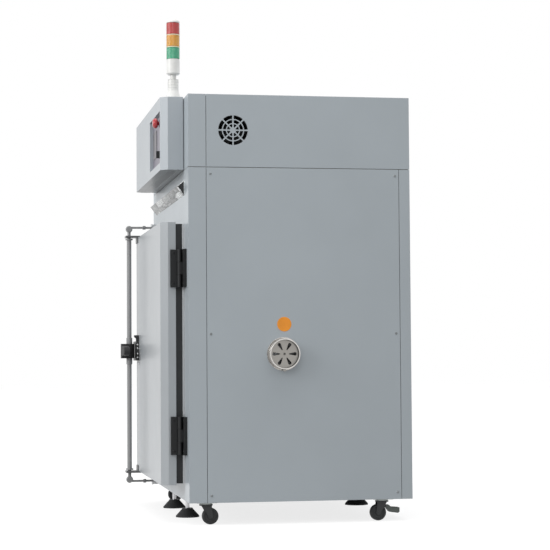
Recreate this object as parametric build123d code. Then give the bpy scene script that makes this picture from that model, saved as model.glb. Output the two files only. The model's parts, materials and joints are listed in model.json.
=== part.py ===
"""Hot air drying oven: a floor-standing cabinet on castors, with a hinged insulated door.

The door closes on a stainless frame and is held by a turning lock bar. The upper compartment holds
the fan motor and the electrics, and a shallow control box hangs ahead of it. Lengths are in
millimetres. While it is modelled, X = 0 is the middle of the cabinet, Y = 0 its front face with +Y
towards the back, and Z = 0 the floor. Every piece is then moved so that the origin lies on the floor
under the middle of the whole oven. The door hinges are on the +X side.
"""
import os

from build123d import *

os.makedirs("parts", exist_ok=True)

# Cabinet
cabinet_width = 1200.0
cabinet_depth = 870.0
cabinet_height = 1560.0
ground_clearance = 85.0
upper_height = 280.0
sheet = 2.0
running_gap = 0.3
front_return = 68.0
rear_return = 42.0
panel_gap = 2.0
flange_width = 24.0
base_thickness = 3.0
base_lip = 30.0
screw_radius = 2.5
screw_head_radius = 5.0
screw_head = 2.0
screw_length = 4.0
screw_inset = 15.0
screw_rise = 27.0

# Chamber, air ducts and insulation
chamber_width = 800.0
chamber_depth = 640.0
chamber_height = 875.0
chamber_floor = 216.0
duct_width = 80.0
plenum_height = 150.0
liner_sheet = 1.5
seal_frame_thickness = 8.0
seal_frame_margin = 6.0
louvre_length = 84.0
louvre_height = 9.0
louvre_gap = 25.0
louvre_pitch = 66.0
louvre_margin_side = 60.0
louvre_margin_end = 70.0
inlet_radius = 120.0
runner_width = 22.0
runner_height = 16.0
runner_sheet = 1.5
runner_plug_gap = 12.0
shelf_rises = (250.0, 560.0)
shelf_names = ("lower", "upper")
shelf_rod_radius = 4.0
shelf_rod_end = 6.0
shelf_cross_radius = 3.4
shelf_bar_radius = 2.4
shelf_bars = 13
shelf_back_gap = 20.0
shelf_front_gap = 70.0
shelf_side_gap = 4.0

# Air movement and heat
fan_shaft_radius = 9.0
shaft_clearance = 0.05
shaft_hole_radius = 16.0
wheel_radius = 145.0
wheel_height = 80.0
wheel_blades = 16
wheel_plate = 2.5
wheel_ceiling_gap = 14.0
wheel_hub_radius = 24.0
motor_radius = 72.0
motor_height = 165.0
motor_flange = 200.0
motor_flange_thickness = 8.0
motor_bearing_depth = 70.0
heater_radius = 5.0
heater_pitch = 50.0
heater_rise = 42.0
heater_loop = 62.0
heater_count = 3
heater_inner_offset = 230.0
heater_front_gap = 90.0

# Cooling fan of the upper compartment and the slots in front of it
fan_back = 174.0
fan_drop = 138.0
fan_size = 120.0
fan_thickness = 38.0
fan_bore = 56.0
fan_hub_radius = 20.0
fan_pin_radius = 3.0
fan_blades = 7
slot_rings = ((12.0, 23.5), (27.5, 39.5), (43.5, 57.5))
slot_spoke = 5.5
slot_spokes = 8
vent_count = 8
vent_drop = 70.0
vent_pitch = 16.0
vent_height = 5.0
vent_side = 280.0
vent_length = 200.0

# Exhaust port with its turning damper
port_back = 365.0
port_rise = 563.0
port_flange_radius = 64.0
port_flange_thickness = 3.0
port_radius = 56.0
port_wall = 2.0
port_length = 40.0
port_recess = 16.0
port_bead = 2.5
duct_radius = 50.0
duct_wall = 1.5
damper_sheet = 2.0
damper_edge_gap = 0.6
damper_ports = 6
teardrop_outer = 47.0
teardrop_inner = 17.0
teardrop_wide = 6.5
teardrop_narrow = 2.0
damper_pin_radius = 4.0
knob_stem_radius = 2.5
knob_radius = 5.5
knob_length = 8.0
knob_clearance = 0.5

# Door
door_overlap_side = 78.0
door_overlap_end = 70.0
door_front = 92.0
door_back = 34.0
bevel_width = 21.0
bevel_depth = 28.0
gasket_width = 40.0
gasket_side_gap = 8.0
gasket_gap = 0.3
plug_gap = 15.0
plug_depth = 22.0

# Door hinges
hinge_out = 25.0
hinge_ahead = 22.0
hinge_height = 146.0
hinge_low_rise = 190.0
hinge_high_drop = 180.0
hinge_radius = 9.0
hinge_pin_radius = 5.0
hinge_leaf = 12.0
door_leaf_width = 42.0
frame_leaf_width = 48.0
leaf_axis_gap = 13.0
knuckle_gap = 0.4

# Lock bar on the free side of the door
bar_inset = 53.0
bar_ahead = 128.0
bar_radius = 10.0
bar_end_gap = 4.0
collar_radius = 16.0
collar_height = 6.0
neck_radius = 7.0
eye_radius = 15.0
eye_rise = 38.0
eye_half = 9.0
rod_offset = 7.0
rod_start = 10.0
lever_sleeve_half = 26.0
lever_sleeve_wall = 3.0
rod_radius = 4.5
rod_nut_radius = 9.0
rod_nut_length = 12.0
rod_nut_back = 68.0
rod_head_radius = 8.0
rod_head_length = 7.0
rod_end_gap = 10.0
bracket_width = 60.0
bracket_thickness = 8.0
bracket_cover = 18.0
bracket_leg = 24.0
keeper_side_gap = 15.0
keeper_width = 34.0
keeper_height = 36.0
keeper_sheet = 4.0
keeper_clearance = 6.5
keeper_slot = 21.0
keeper_slot_gap = 1.5
keeper_tab = 20.0

# Lock lever and its plate
lever_rise = 520.0
lever_height = 63.0
lever_hub_half = 22.0
lever_front = 164.0
lever_arm_length = 120.0
lever_arm_thickness = 26.0
lever_arm_height = 46.0
lever_tip_height = 34.0
lever_grip_round = 5.0
lock_plate_width = 130.0
lock_plate_height = 83.0
lock_plate_thickness = 12.0

# Control box ahead of the upper compartment
box_width = 956.0
box_front = 91.0
box_rise = 5.0
box_gap = 3.0
box_skirt = 10.0
box_grooves = ((59.0, 1.6), (21.0, 8.0))
box_groove_depth = 1.0
opening_side = 60.0
opening_bottom = 40.0
opening_top = 60.0
recess_left = 92.0
recess_right = 446.0
recess_top = 48.0
recess_bottom = 30.0
recess_depth = 14.0
panel_thickness = 2.0
switch_column = 400.0
estop_drop = 90.0
estop_radius = 20.0
estop_height = 20.0
estop_collar_radius = 15.0
estop_collar_height = 12.0
estop_stem_radius = 8.0
estop_travel = 5.0
selector_drop = 213.0
selector_radius = 15.0
selector_height = 18.0
selector_ring_radius = 18.0
selector_ring_height = 5.0
indicator_drops = (127.0, 161.0)
indicator_radius = 6.0
indicator_height = 4.0
controller_size = 110.0
controller_rim = 8.0
controller_left = 118.0
controller_bezel = 3.0
controller_body = 60.0

# Electrical tray of the upper compartment
tray_side = 120.0
tray_width = 320.0
tray_height = 210.0
tray_gap = 30.0
device_widths = (45.0, 45.0, 70.0, 36.0)
device_pitch = 76.0
device_first = 15.0
device_height = 50.0
device_depth = 55.0
rail_rises = (60.0, 150.0)

# Heat deflector between the control box and the door
deflector_width = 956.0
deflector_top = 41.0
deflector_bottom = 100.0
deflector_nose = 28.0
deflector_nose_drop = 64.0
deflector_sheet = 1.5
deflector_cap = 3.0

# Signal lamp
lamp_inset = 46.0
lamp_ahead = 36.0
lamp_flange_radius = 29.0
lamp_collar_radius = 21.5
lamp_flare_height = 30.0
lamp_collar_height = 43.0
lamp_stem_radius = 12.0
lamp_stem_height = 20.0
lamp_radius = 26.0
lamp_housing_height = 60.0
lamp_lens_height = 48.0
lamp_cap_height = 14.0
lamp_seam = 2.0
lens_names = ("green", "amber", "red")

# Castors and levelling feet
castor_side = 54.0
castor_front = 70.0
castor_rear = 110.0
castor_plate_length = 78.0
castor_plate_width = 62.0
castor_plate_thickness = 3.0
race_radius = 24.0
race_height = 5.0
kingpin_radius = 5.0
kingpin_head_radius = 9.0
kingpin_head = 3.0
fork_sheet = 2.5
fork_top = 4.7
fork_clearance = 0.3
castor_trail = 16.0
cheek_half = 20.0
cheek_radius = 9.0
castor_wheel_radius = 31.5
castor_wheel_width = 25.0
axle_radius = 4.0
wheel_side_gap = 1.5
pedal_width = 30.0
pedal_length = 52.0
foot_side = 383.0
foot_front = 42.0
foot_rear = 135.0
foot_radius = 47.0
foot_brim = 5.0
foot_height = 36.0
foot_neck_radius = 20.0
foot_stud_radius = 8.0
foot_thread_clearance = 0.06
foot_nut_radius = 14.0
foot_nut_height = 10.0
rear_foot_lift = 34.0
foot_stud_length = 75.0
stud_hole_radius = 10.0
stud_hole_depth = 70.0

# Cable gland at the back
gland_radius = 13.0
gland_length = 24.0
gland_bore = 6.5
gland_drop = 220.0
gland_side = 120.0

# Levels and faces that follow from the sizes above
half_width = cabinet_width / 2
underside = ground_clearance
roof = underside + cabinet_height
seam = roof - upper_height
chamber_top = chamber_floor + chamber_height
plenum_top = chamber_top + plenum_height
chamber_half = chamber_width / 2
duct_half = chamber_half + duct_width
liner_back = sheet + liner_sheet + chamber_depth
door_width = chamber_width + 2 * door_overlap_side
door_height = chamber_height + 2 * door_overlap_end
door_bottom = chamber_floor - door_overlap_end
door_top = door_bottom + door_height
door_half = door_width / 2
hinge_x = door_half + hinge_out
hinge_y = -hinge_ahead
bar_x = bar_inset - door_half
bar_y = -bar_ahead
lever_z = door_bottom + lever_rise
port_z = underside + port_rise
fan_z = roof - fan_drop
shaft_y = sheet + liner_sheet + chamber_depth / 2
panel_face = box_front - recess_depth
box_top = roof + box_rise
lamp_x = box_width / 2 - lamp_inset
reach_left = half_width + screw_head
reach_right = half_width + port_length
reach_back = cabinet_depth + gland_length
origin = ((reach_right - reach_left) / 2, (reach_back - lever_front) / 2, 0)


def block(x, y, z):
    """A box between two limits along each axis."""
    low = [min(pair) for pair in (x, y, z)]
    size = [max(pair) - min(pair) for pair in (x, y, z)]
    return Pos(*low) * Box(*size, align=(Align.MIN,) * 3)


def rod(axis, radius, span, at):
    """A round bar along an axis between two limits; at holds its other two coordinates."""
    low, high = min(span), max(span)
    bar = Cylinder(radius, high - low, align=(Align.CENTER, Align.CENTER, Align.MIN))
    if axis == "X":
        return Pos(low, *at) * Rot(0, 90, 0) * bar
    if axis == "Y":
        return Pos(at[0], low, at[1]) * Rot(-90, 0, 0) * bar
    return Pos(*at, low) * bar


def tube(axis, outer, inner, span, at):
    return rod(axis, outer, span, at) - rod(axis, inner, span, at)


def facing_side(x, y, z):
    """A drawing plane that looks along +X, with Y across and Z up."""
    return Plane(origin=(x, y, z), x_dir=(0, 1, 0), z_dir=(1, 0, 0))


def facing_front(x, y, z):
    """A drawing plane that looks along -Y, with X across and Z up."""
    return Plane(origin=(x, y, z), x_dir=(1, 0, 0), z_dir=(0, -1, 0))


def outline(*points):
    return make_face(Polyline(*points, close=True))


def turned(profile_points, axis_at):
    """A solid of revolution about an upright axis, from points of radius and height."""
    face = Plane.XZ * outline(*profile_points)
    return Pos(*axis_at) * revolve(face, axis=Axis.Z)


def save(node, *shapes):
    """Write one node, moved so that the origin lies under the middle of the whole oven."""
    solids = [solid for shape in shapes for solid in shape.solids()]
    moved = [Pos(-origin[0], -origin[1], -origin[2]) * solid for solid in solids]
    export_step(moved[0] if len(moved) == 1 else Compound(moved), f"parts/{node}.step")


def side_rim(side, z, lip_side):
    """The inward step of a corner post that the side panel lies on."""
    edge = front_return if lip_side == "front" else cabinet_depth - rear_return
    sign = 1 if lip_side == "front" else -1
    return block(
        (side * (half_width - sheet), side * (half_width - 2 * sheet)),
        (edge - sign * sheet, edge + sign * flange_width), z)


def screw(axis, face, outward, at):
    """A pan-head screw: its head lies on the face and its shank runs inwards."""
    head = rod(axis, screw_head_radius, (face, face + outward * screw_head), at)
    shank = rod(axis, screw_radius, (face, face - outward * screw_length), at)
    along = Axis((0, 0, 0), (outward, 0, 0) if axis == "X" else (0, outward, 0))
    rim = head.edges().filter_by(GeomType.CIRCLE).sort_by(along)[-1]
    return chamfer(rim, screw_head * 0.6) + shank


def side_screws(side, low, high):
    """The places of a side panel's four corner screws."""
    fore = front_return + panel_gap + screw_inset
    aft = cabinet_depth - rear_return - panel_gap - screw_inset
    return [(y, z) for y in (fore, aft) for z in (low + screw_rise, high - screw_rise)]


def screw_holes(axis, face, places):
    span = (face - screw_length, face + screw_length)
    return [rod(axis, screw_radius, span, at) for at in places]


def rear_screws():
    across = half_width - rear_return
    heights = (underside + screw_rise, (underside + seam) / 2, seam - screw_rise)
    return [(x, z) for x in (-across, across) for z in heights]


def front_frame():
    """Front of the cabinet below the seam: a portal sheet with returns round both sides."""
    z = (underside, seam - panel_gap)
    body = block((-half_width, half_width), (0, sheet), z)
    rim_z = (underside + base_lip + base_thickness + panel_gap, z[1])
    for side in (-1, 1):
        body += block((side * half_width, side * (half_width - sheet)), (0, front_return), z)
        body += side_rim(side, rim_z, "front")
    body -= block((-chamber_half, chamber_half), (-1, sheet + 1), (chamber_floor, chamber_top))
    for side in (-1, 1):
        body -= screw_holes("X", side * half_width, side_screws(side, underside, seam))
    return body


def rear_panel():
    """Back of the cabinet below the seam, with returns round both sides."""
    z = (underside, seam - panel_gap)
    y = (cabinet_depth - sheet, cabinet_depth)
    body = block((-half_width, half_width), y, z)
    rim_z = (underside + base_lip + base_thickness + panel_gap, z[1])
    for side in (-1, 1):
        fold = (cabinet_depth - rear_return, cabinet_depth)
        body += block((side * half_width, side * (half_width - sheet)), fold, z)
        body += side_rim(side, rim_z, "rear")
        body -= screw_holes("X", side * half_width, side_screws(side, underside, seam))
    return body - screw_holes("Y", cabinet_depth, rear_screws())


def side_panel(side):
    """Removable side cover, let in flush between the corner posts."""
    body = block(
        (side * half_width, side * (half_width - sheet)),
        (front_return + panel_gap, cabinet_depth - rear_return - panel_gap),
        (underside, seam - panel_gap))
    if side > 0:
        body -= rod("X", duct_radius, (half_width - 2 * sheet, half_width + 1), (port_back, port_z))
    return body - screw_holes("X", side * half_width, side_screws(side, underside, seam))


def base_pan():
    """Floor of the cabinet with upturned lips, and the nuts that the levelling feet turn in."""
    inner = half_width - sheet
    y = (sheet, cabinet_depth - sheet)
    body = block((-inner, inner), y, (underside, underside + base_thickness))
    for side in (-1, 1):
        body += block((side * inner, side * (inner - sheet)), y,
                      (underside, underside + base_thickness + base_lip))
    for at in foot_places():
        body += Pos(*at, underside - foot_nut_height) * extrude(
            RegularPolygon(foot_nut_radius, 6), foot_nut_height)
    for at in foot_places():
        body -= rod("Z", foot_stud_radius + foot_thread_clearance,
                    (underside - foot_nut_height - 1, underside + base_thickness + 1), at)
    for side in (-1, 1):
        body -= screw_holes("X", side * half_width, side_screws(side, underside, seam))
    return body


def foot_places():
    x = half_width - foot_side
    return [(x, foot_front), (-x, foot_front), (x, cabinet_depth - foot_rear),
            (-x, cabinet_depth - foot_rear)]


def castor_places():
    x = half_width - castor_side
    return [(x, castor_front, 1), (-x, castor_front, 1), (x, cabinet_depth - castor_rear, -1),
            (-x, cabinet_depth - castor_rear, -1)]


def fan_slots():
    """Rings of punched slots, broken by spokes."""
    rings = Sketch()
    for inner, outer in slot_rings:
        rings += Circle(outer) - Circle(inner)
    for turn in range(slot_spokes // 2):
        rings -= Rot(0, 0, turn * 360 / slot_spokes) * Rectangle(4 * fan_bore, slot_spoke)
    return extrude(facing_side(half_width - sheet - 1, fan_back, fan_z) * rings, sheet + 2)


def wiring_opening(front, back):
    """The way from the upper compartment into the control box, between two depths."""
    reach = box_width / 2 - opening_side
    return block((-reach, reach), (front, back), (seam + opening_bottom, roof - opening_top))


def upper_fascia():
    """Front of the upper compartment, folded back round the roof and both sides."""
    z = (seam, roof)
    body = block((-half_width, half_width), (0, front_return), z)
    body -= block((-half_width + sheet, half_width - sheet), (sheet, front_return),
                  (z[0], roof - sheet))
    ledge = sheet * 2
    step = block((-half_width + sheet, half_width - sheet),
                 (front_return - sheet, front_return + flange_width), (z[0] + ledge, roof - sheet))
    step -= block((-half_width + ledge, half_width - ledge),
                  (front_return - sheet, front_return + flange_width), (z[0], roof - ledge))
    return body + step - wiring_opening(-1, sheet + 1)


def top_cover():
    """Cover of the upper compartment: roof, sides and back in one, with the fan slots."""
    y = (front_return + panel_gap, cabinet_depth)
    z = (seam, roof)
    body = block((-half_width, half_width), y, z)
    body -= block((-half_width + sheet, half_width - sheet), (y[0], y[1] - sheet),
                  (z[0], roof - sheet))
    body -= rod("Y", gland_radius * 0.75, (cabinet_depth - 2 * sheet, cabinet_depth + 1),
                (-half_width + gland_side, roof - gland_drop))
    vent_x = half_width - vent_side
    for row in range(vent_count):
        vent_z = roof - vent_drop - row * vent_pitch
        body -= block((vent_x - vent_length, vent_x), (cabinet_depth - 2 * sheet, cabinet_depth + 1),
                      (vent_z - vent_height, vent_z))
    return body - fan_slots()


def compartment_floor():
    inner = half_width - sheet
    body = block((-inner, inner), (sheet, cabinet_depth - sheet), (seam, seam + sheet))
    return body - rod("Z", shaft_hole_radius, (seam - 1, seam + sheet + 1), (0, shaft_y))


def panel_screws():
    screws = []
    for side in (-1, 1):
        for at in side_screws(side, underside, seam):
            screws.append(screw("X", side * half_width, side, at))
    for at in rear_screws():
        screws.append(screw("Y", cabinet_depth, 1, at))
    return screws


def seal_frame():
    """Raised stainless frame round the chamber mouth that the door gasket closes on."""
    side = gasket_side_gap
    body = block((-door_half + side, door_half - side), (-seal_frame_thickness, 0),
                 (door_bottom + seal_frame_margin, door_top - seal_frame_margin))
    return body - block((-chamber_half, chamber_half), (-seal_frame_thickness - 1, 1),
                        (chamber_floor, chamber_top))


def chamber_liner():
    """Stainless sheets of the inner box: chamber, side ducts and the fan space above them."""
    t = liner_sheet
    x = (-duct_half - t, duct_half + t)
    y = (sheet, liner_back + t)
    z = (chamber_floor, plenum_top)
    floor = block(x, y, (z[0] - t, z[0]))
    roof_sheet = block(x, y, (z[1], z[1] + t))
    roof_sheet -= rod("Z", shaft_hole_radius, (z[1] - 1, z[1] + 2 * t), (0, shaft_y))
    back = block(x, (liner_back, y[1]), z)
    left = block((-duct_half - t, -duct_half), (sheet, liner_back), z)
    right = block((duct_half, duct_half + t), (sheet, liner_back), z)
    right -= rod("X", duct_radius, (duct_half - 1, duct_half + 2 * t), (port_back, port_z))
    jambs = [block((side * chamber_half, side * duct_half), (sheet, sheet + t), z) for side in (-1, 1)]
    header = block((-chamber_half, chamber_half), (sheet, sheet + t), (chamber_top, z[1]))
    return [floor, roof_sheet, back, left, right, *jambs, header]


def insulation():
    """Mineral wool slabs between the liner and the outer sheets."""
    out = half_width - 2 * sheet
    t = duct_half + liner_sheet
    y = (sheet, cabinet_depth - 2 * sheet)
    z = (underside + base_thickness, seam)
    right = block((t, out), y, z) - rod("X", duct_radius, (t - 1, out + 1), (port_back, port_z))
    left = block((-out, -t), y, z)
    rear = block((-t, t), (liner_back + liner_sheet, y[1]), z)
    front_y = (y[0], liner_back + liner_sheet)
    bottom = block((-t, t), front_y, (z[0], chamber_floor - liner_sheet))
    top = block((-t, t), front_y, (plenum_top + liner_sheet, z[1]))
    top -= rod("Z", shaft_hole_radius, (plenum_top, seam + 1), (0, shaft_y))
    studs = [rod("Z", stud_hole_radius, (z[0] - 1, z[0] + stud_hole_depth), at) for at in foot_places()]
    return [right, left, rear - studs, bottom - studs, top]


def louvred_panel(side):
    """Inner side wall of the chamber, with rows of air slots."""
    x = (side * chamber_half, side * (chamber_half + liner_sheet))
    y = (sheet + liner_sheet, liner_back)
    body = block(x, y, (chamber_floor, chamber_top))
    span_y = chamber_depth - 2 * louvre_margin_side
    span_z = chamber_height - 2 * louvre_margin_end
    columns = int((span_y + louvre_gap) // (louvre_length + louvre_gap))
    rows = int(span_z // louvre_pitch) + 1
    pitch_y = (span_y - louvre_length) / max(columns - 1, 1)
    pitch_z = span_z / (rows - 1)
    slots = []
    for column in range(columns):
        for row in range(rows):
            low_y = y[0] + louvre_margin_side + column * pitch_y
            mid_z = chamber_floor + louvre_margin_end + row * pitch_z
            slots.append(block((x[0] - side, x[1] + side), (low_y, low_y + louvre_length),
                               (mid_z - louvre_height / 2, mid_z + louvre_height / 2)))
    return body - slots


def ceiling_panel():
    """Ceiling of the chamber with the fan's inlet; the side ducts stay open beside it."""
    reach = chamber_half + liner_sheet
    z = (chamber_top, chamber_top + liner_sheet)
    body = block((-reach, reach), (sheet + liner_sheet, liner_back), z)
    return body - rod("Z", inlet_radius, (z[0] - 1, z[1] + 1), (0, shaft_y))


def heater_elements():
    """Hairpin heater tubes beside the fan, each fixed to the back of the liner."""
    tubes = []
    low = chamber_top + liner_sheet + heater_rise
    for side in (-1, 1):
        for index in range(heater_count):
            x = side * (heater_inner_offset + index * heater_pitch)
            bend = heater_loop / 2
            front = sheet + liner_sheet + heater_front_gap
            legs = [rod("Y", heater_radius, (front + bend, liner_back), (x, z))
                    for z in (low, low + heater_loop)]
            ring = Pos(x, front + bend, low + bend) * Rot(0, 90, 0) * Torus(bend, heater_radius)
            ring -= block((x - 2 * heater_radius, x + 2 * heater_radius),
                          (front + bend, front + 4 * bend), (low - bend, low + 3 * bend))
            tubes.append(legs[0] + legs[1] + ring)
    return tubes


def blower_motor():
    """Upright fan motor with its mounting flange, cooling ribs and fan cowl."""
    base = seam + sheet
    flange_top = base + motor_flange_thickness
    half = motor_flange / 2
    flange = block((-half, half), (shaft_y - half, shaft_y + half), (base, flange_top))
    cowl = motor_height * 0.28
    body = rod("Z", motor_radius - 6, (flange_top, base + motor_height), (0, shaft_y))
    for index in range(16):
        rib = block((motor_radius - 8, motor_radius), (-1.5, 1.5),
                    (flange_top + 12, base + motor_height - cowl))
        body += Pos(0, shaft_y, 0) * Rot(0, 0, index * 22.5) * rib
    body += rod("Z", motor_radius, (base + motor_height - cowl, base + motor_height), (0, shaft_y))
    body += block((motor_radius - 12, motor_radius + 22), (shaft_y - 35, shaft_y + 35),
                  (flange_top + 30, flange_top + 80))
    bearing = rod("Z", fan_shaft_radius + shaft_clearance, (base, base + motor_bearing_depth),
                  (0, shaft_y))
    return flange + body - bearing


def blower_wheel():
    """Centrifugal fan wheel hanging on the motor shaft: back disc, curved blades, inlet ring, hub."""
    low = chamber_top + liner_sheet + wheel_ceiling_gap
    high = low + wheel_height
    at = (0, shaft_y)
    wheel = rod("Z", wheel_radius, (high - wheel_plate, high), at)
    wheel += tube("Z", wheel_radius, wheel_radius * 0.72, (low, low + wheel_plate), at)
    blade_arc = wheel_radius * 0.3
    for index in range(wheel_blades):
        curve = ThreePointArc((wheel_radius * 0.72, 0), (wheel_radius * 0.87, blade_arc * 0.16),
                              (wheel_radius - 1, blade_arc * 0.62))
        blade = extrude(trace(curve, wheel_plate), wheel_height - wheel_plate)
        wheel += Pos(*at, low) * Rot(0, 0, index * 360 / wheel_blades) * blade
    wheel += rod("Z", wheel_hub_radius, (high - wheel_height * 0.5, high), at)
    wheel += rod("Z", fan_shaft_radius, (high - wheel_height * 0.5,
                 seam + sheet + motor_bearing_depth - 1), at)
    return wheel


def cooling_fan_frame():
    """Square frame of the cooling fan, with its bore, struts and hub plate."""
    outer = half_width - sheet
    inner = outer - fan_thickness
    half = fan_size / 2
    body = block((inner, outer), (fan_back - half, fan_back + half), (fan_z - half, fan_z + half))
    body -= rod("X", fan_bore, (inner - 1, outer + 1), (fan_back, fan_z))
    struts = Sketch() + Circle(fan_hub_radius)
    for turn in (45, 135):
        struts += Rot(0, 0, turn) * Rectangle(2 * fan_bore + 4, 7)
    body += extrude(facing_side(inner, fan_back, fan_z) * struts, 4)
    return body + rod("X", fan_pin_radius, (inner, outer - 8), (fan_back, fan_z))


def cooling_fan_rotor():
    """Axial rotor of the cooling fan: hub and pitched blades on the frame's pin."""
    outer = half_width - sheet - 6
    inner = half_width - sheet - fan_thickness + 6
    hub = rod("X", fan_hub_radius, (inner, outer), (fan_back, fan_z))
    blade_reach = fan_bore - 3
    blade = Pos(0, 0, fan_hub_radius - 2) * Rot(0, 0, 35) * Box(
        2, 24, blade_reach - fan_hub_radius + 2, align=(Align.CENTER, Align.CENTER, Align.MIN))
    for index in range(fan_blades):
        hub += Pos((inner + outer) / 2, fan_back, fan_z) * Rot(index * 360 / fan_blades, 0, 0) * blade
    return hub - rod("X", fan_pin_radius + shaft_clearance, (inner - 1, half_width - sheet - 7),
                     (fan_back, fan_z))


def teardrop():
    """Outline of one damper port, pointing at the middle and round at its outer end."""
    wide = teardrop_outer - teardrop_wide
    narrow = teardrop_inner + teardrop_narrow
    web = outline((narrow, teardrop_narrow), (wide, teardrop_wide), (wide, -teardrop_wide),
                  (narrow, -teardrop_narrow))
    return Pos(wide, 0) * Circle(teardrop_wide) + Pos(narrow, 0) * Circle(teardrop_narrow) + web


def port_holes():
    holes = Sketch()
    for index in range(damper_ports):
        holes += Rot(0, 0, index * 360 / damper_ports) * teardrop()
    return holes


def exhaust_port():
    """Exhaust collar on the side panel, its fixed port plate and the duct through the wall."""
    at = (port_back, port_z)
    face = half_width
    rim = face + port_length
    plate_front = rim - port_recess - damper_sheet - running_gap
    inner = port_radius - port_wall
    collar = tube("X", port_flange_radius, inner, (face, face + port_flange_thickness), at)
    collar += tube("X", port_radius, inner, (face, rim), at)
    collar += tube("X", port_radius + port_bead, inner, (rim - 2 * port_bead, rim), at)
    plate = Circle(inner + port_wall / 2) - port_holes()
    collar += extrude(facing_side(plate_front - damper_sheet, *at) * plate, damper_sheet)
    pin_tip = rim - port_recess + 3
    collar += rod("X", damper_pin_radius, (plate_front - 1, pin_tip), at)
    slot = knob_stem_radius + knob_clearance
    stem_x = rim - port_recess - damper_sheet / 2
    window = extrude(facing_side(stem_x - slot, *at) * (
        Circle(port_radius + port_bead + 1) - Circle(inner - 1)), 2 * slot)
    window &= knob_sector(stem_x)
    duct = tube("X", duct_radius, duct_radius - duct_wall, (duct_half, plate_front - damper_sheet), at)
    return collar - window, duct


def knob_sector(stem_x):
    """The wedge below the port that the knob's stem sweeps through."""
    reach = 2 * port_radius
    slot = knob_stem_radius + knob_clearance
    swing = 6
    wedge = outline((0, 0), (-slot * 2, -reach), (reach * 0.62, -reach * 0.86), (slot, 0))
    return extrude(facing_side(stem_x - swing, port_back, port_z) * wedge, 2 * swing)


def damper_disc():
    """Turning disc of the exhaust port, with its knob below the collar."""
    rim = half_width + port_length
    at = (port_back, port_z)
    radius = port_radius - port_wall - damper_edge_gap
    face = Circle(radius) - port_holes() - Circle(damper_pin_radius + shaft_clearance)
    disc = extrude(facing_side(rim - port_recess - damper_sheet, *at) * face, damper_sheet)
    stem_x = rim - port_recess - damper_sheet / 2
    knob_top = port_z - port_radius - port_bead - knob_clearance
    stem = rod("Z", knob_stem_radius, (knob_top - 1, port_z - radius + 3), (stem_x, port_back))
    stem &= block((stem_x - damper_sheet / 2, stem_x + damper_sheet / 2),
                  (port_back - 9, port_back + 9), (knob_top - 2, port_z)) + block(
        (stem_x - 9, stem_x + 9), (port_back - 9, port_back + 9), (knob_top - 2, port_z - radius))
    knob = rod("Z", knob_radius, (knob_top - knob_length, knob_top), (stem_x, port_back))
    return disc + stem + fillet(knob.edges().filter_by(GeomType.CIRCLE), 1.5)


def bevelled_outline(width, back, front):
    """Plan of an upright housing whose front corners slant."""
    half = width / 2
    return outline((-half, -back), (-half, bevel_depth - front), (bevel_width - half, -front),
                   (half - bevel_width, -front), (half, bevel_depth - front), (half, -back))


def bevelled_housing(width, back, front, z):
    """The housing itself, folded from sheet and open behind."""
    face = bevelled_outline(width, back, front)
    body = Pos(0, 0, z[0]) * extrude(face, z[1] - z[0])
    hollow = offset(face, -sheet, kind=Kind.INTERSECTION)
    hollow += Pos(0, -back - sheet) * Rectangle(width - 2 * sheet, 2.5 * sheet)
    return body - Pos(0, 0, z[0] + sheet) * extrude(hollow, z[1] - z[0] - 2 * sheet)


def door_shell():
    return bevelled_housing(door_width, door_back, door_front, (door_bottom, door_top))


def door_inner_panel():
    """Stainless back of the door, with a shallow tray that enters the chamber mouth."""
    inner = door_half - sheet
    z = (door_bottom + sheet, door_top - sheet)
    body = block((-inner, inner), (-door_back - liner_sheet, -door_back), z)
    plug_x = chamber_half - plug_gap
    plug_z = (chamber_floor + plug_gap, chamber_top - plug_gap)
    body += block((-plug_x, plug_x), (-door_back, plug_depth), plug_z)
    t = liner_sheet
    return body - block((-plug_x + t, plug_x - t), (-door_back - 2 * t, plug_depth - t),
                        (plug_z[0] + t, plug_z[1] - t))


def door_insulation():
    """Mineral wool filling of the door and of its tray."""
    t = liner_sheet
    plan = bevelled_outline(door_width - 2 * sheet, door_back + t, door_front - sheet)
    filling = Pos(0, 0, door_bottom + sheet) * extrude(plan, door_height - 2 * sheet)
    plug_x = chamber_half - plug_gap - t
    plug_z = (chamber_floor + plug_gap + t, chamber_top - plug_gap - t)
    return filling + block((-plug_x, plug_x), (-door_back - 2 * t, plug_depth - t), plug_z)


def door_gasket():
    """Wide silicone gasket round the back of the door."""
    outer = door_half - gasket_side_gap
    z = (door_bottom + seal_frame_margin, door_top - seal_frame_margin)
    y = (-door_back, -seal_frame_thickness - gasket_gap)
    ring = block((-outer, outer), y, z)
    ring -= block((-outer + gasket_width, outer - gasket_width), (y[0] - 1, y[1] + 1),
                  (z[0] + gasket_width, z[1] - gasket_width))
    return ring


def hinge_spans():
    """Bottom, top and the two knuckle joints of each hinge."""
    for centre in (hinge_low_rise, door_height - hinge_high_drop):
        low = door_bottom + centre - hinge_height / 2
        high = low + hinge_height
        yield low, low + hinge_height / 3, high - hinge_height / 3, high


def hinge_frame_leaves():
    """The leaves on the cabinet, each with the middle knuckle, and the two hinge pins."""
    leaves, pins = [], []
    at = (hinge_x, hinge_y)
    for low, first, second, high in hinge_spans():
        leaf = block((hinge_x - 6, hinge_x + frame_leaf_width - 6), (-hinge_leaf, 0), (low, high))
        leaf = fillet(leaf.edges().filter_by(Axis.Y), 3)
        knuckle = rod("Z", hinge_radius, (first + knuckle_gap, second - knuckle_gap), at)
        knuckle += block((hinge_x - 6, hinge_x + hinge_radius), (hinge_y, -hinge_leaf / 2),
                         (first + knuckle_gap, second - knuckle_gap))
        bore = rod("Z", hinge_pin_radius, (first, second), at)
        leaves.append(leaf + knuckle - bore)
        pins.append(rod("Z", hinge_pin_radius, (low + 2, high - 2), at))
    return leaves, pins


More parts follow.
